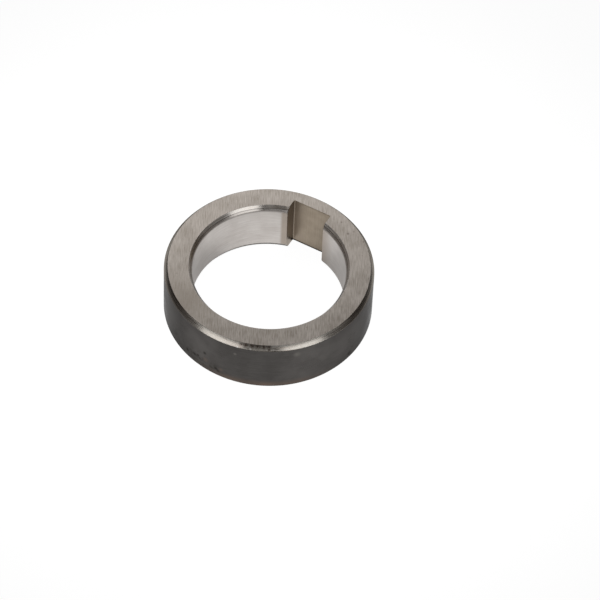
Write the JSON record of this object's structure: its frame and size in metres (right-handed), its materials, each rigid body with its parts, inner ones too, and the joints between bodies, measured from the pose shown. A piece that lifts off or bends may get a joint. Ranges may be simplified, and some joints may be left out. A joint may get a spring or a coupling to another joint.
{
  "type": "camshaft bushing",
  "caption": "Flat steel sleeve ring with a plain bore, one straight keyway through it and lead-in chamfers on its rims; it slides on a keyed shaft and runs in a bearing or seal.",
  "frame": {"origin": "on the bore axis, in the lower end face", "axes": "+Z along the bore axis from the lower end face to the upper one; the keyway opens from the bore towards +Y"},
  "size_m": [0.082, 0.082, 0.024],
  "materials": {
    "ground_steel": "ground end faces and bore, dark hardened outside, turned chamfers"
  },
  "bodies": {
    "root": {"bushing": "ground_steel"}
  },
  "joints": []
}
